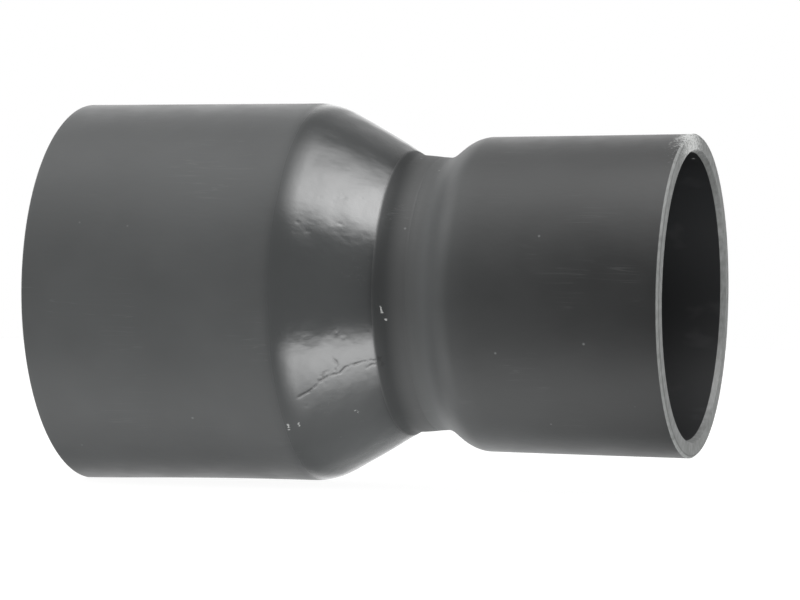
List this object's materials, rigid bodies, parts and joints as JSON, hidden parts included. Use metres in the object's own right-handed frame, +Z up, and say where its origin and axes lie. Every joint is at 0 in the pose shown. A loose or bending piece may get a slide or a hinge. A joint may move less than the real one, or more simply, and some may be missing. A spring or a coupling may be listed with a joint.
{
  "type": "concentric pipe reducer",
  "caption": "Concentric solvent-cement pipe reducer: a wide belled socket and a narrower belled socket joined in line by a smooth cone and a short neck.",
  "frame": {"origin": "on the common axis of both sockets, half way between the large mouth and the small mouth", "axes": "+X along the axis from the large mouth to the small mouth, +Z up, the fitting lying on its side as it does in a level pipe run"},
  "size_m": [0.202, 0.1234, 0.1234],
  "materials": {
    "large_socket_pvc": "dark iron-grey PVC-U, satin on the socket and glossy on the pressed cone",
    "small_socket_pvc": "dark iron-grey PVC-U, satin, with fine draw marks along the axis",
    "cured_cement": "cured grey solvent cement, smooth and slightly glossy"
  },
  "bodies": {
    "root": {"large_socket_body": "large_socket_pvc", "small_socket_body": "small_socket_pvc", "cement_bond": "cured_cement"}
  },
  "joints": []
}
